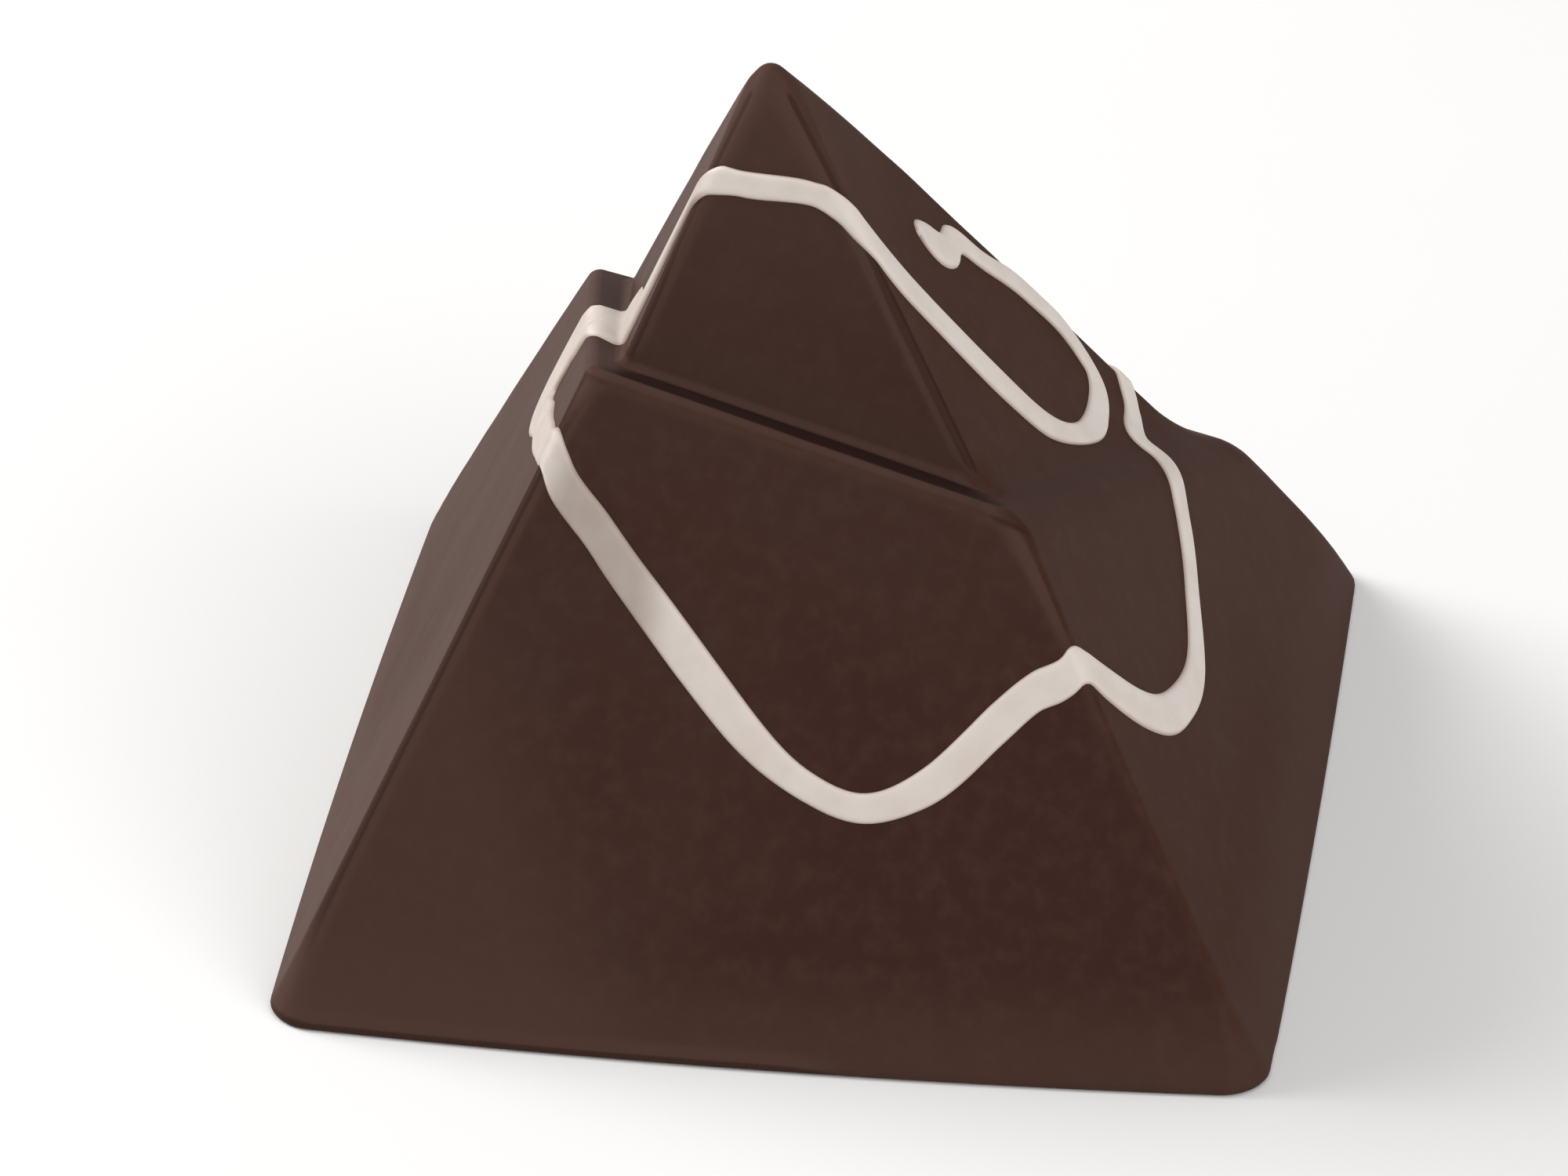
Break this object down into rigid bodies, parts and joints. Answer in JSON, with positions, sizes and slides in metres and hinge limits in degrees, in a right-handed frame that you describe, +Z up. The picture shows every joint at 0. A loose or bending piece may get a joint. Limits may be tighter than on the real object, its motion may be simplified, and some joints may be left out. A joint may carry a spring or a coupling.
{
  "type": "chocolate pyramid cake",
  "caption": "Single-portion moulded cake in two pyramid tiers on a slanting ledge, coated in dark chocolate, with one white chocolate line.",
  "frame": {"origin": "middle of the flat base, on the surface that the cake stands on", "axes": "+Z up, from the base to the tip; -Y is the front, the face that the picture shows most squarely; +X is to its right"},
  "size_m": [0.0798, 0.0814, 0.0668],
  "materials": {
    "dark_chocolate": "satin",
    "white_chocolate": "satin"
  },
  "bodies": {
    "root": {"pyramid_cake": "dark_chocolate"}
  },
  "joints": []
}
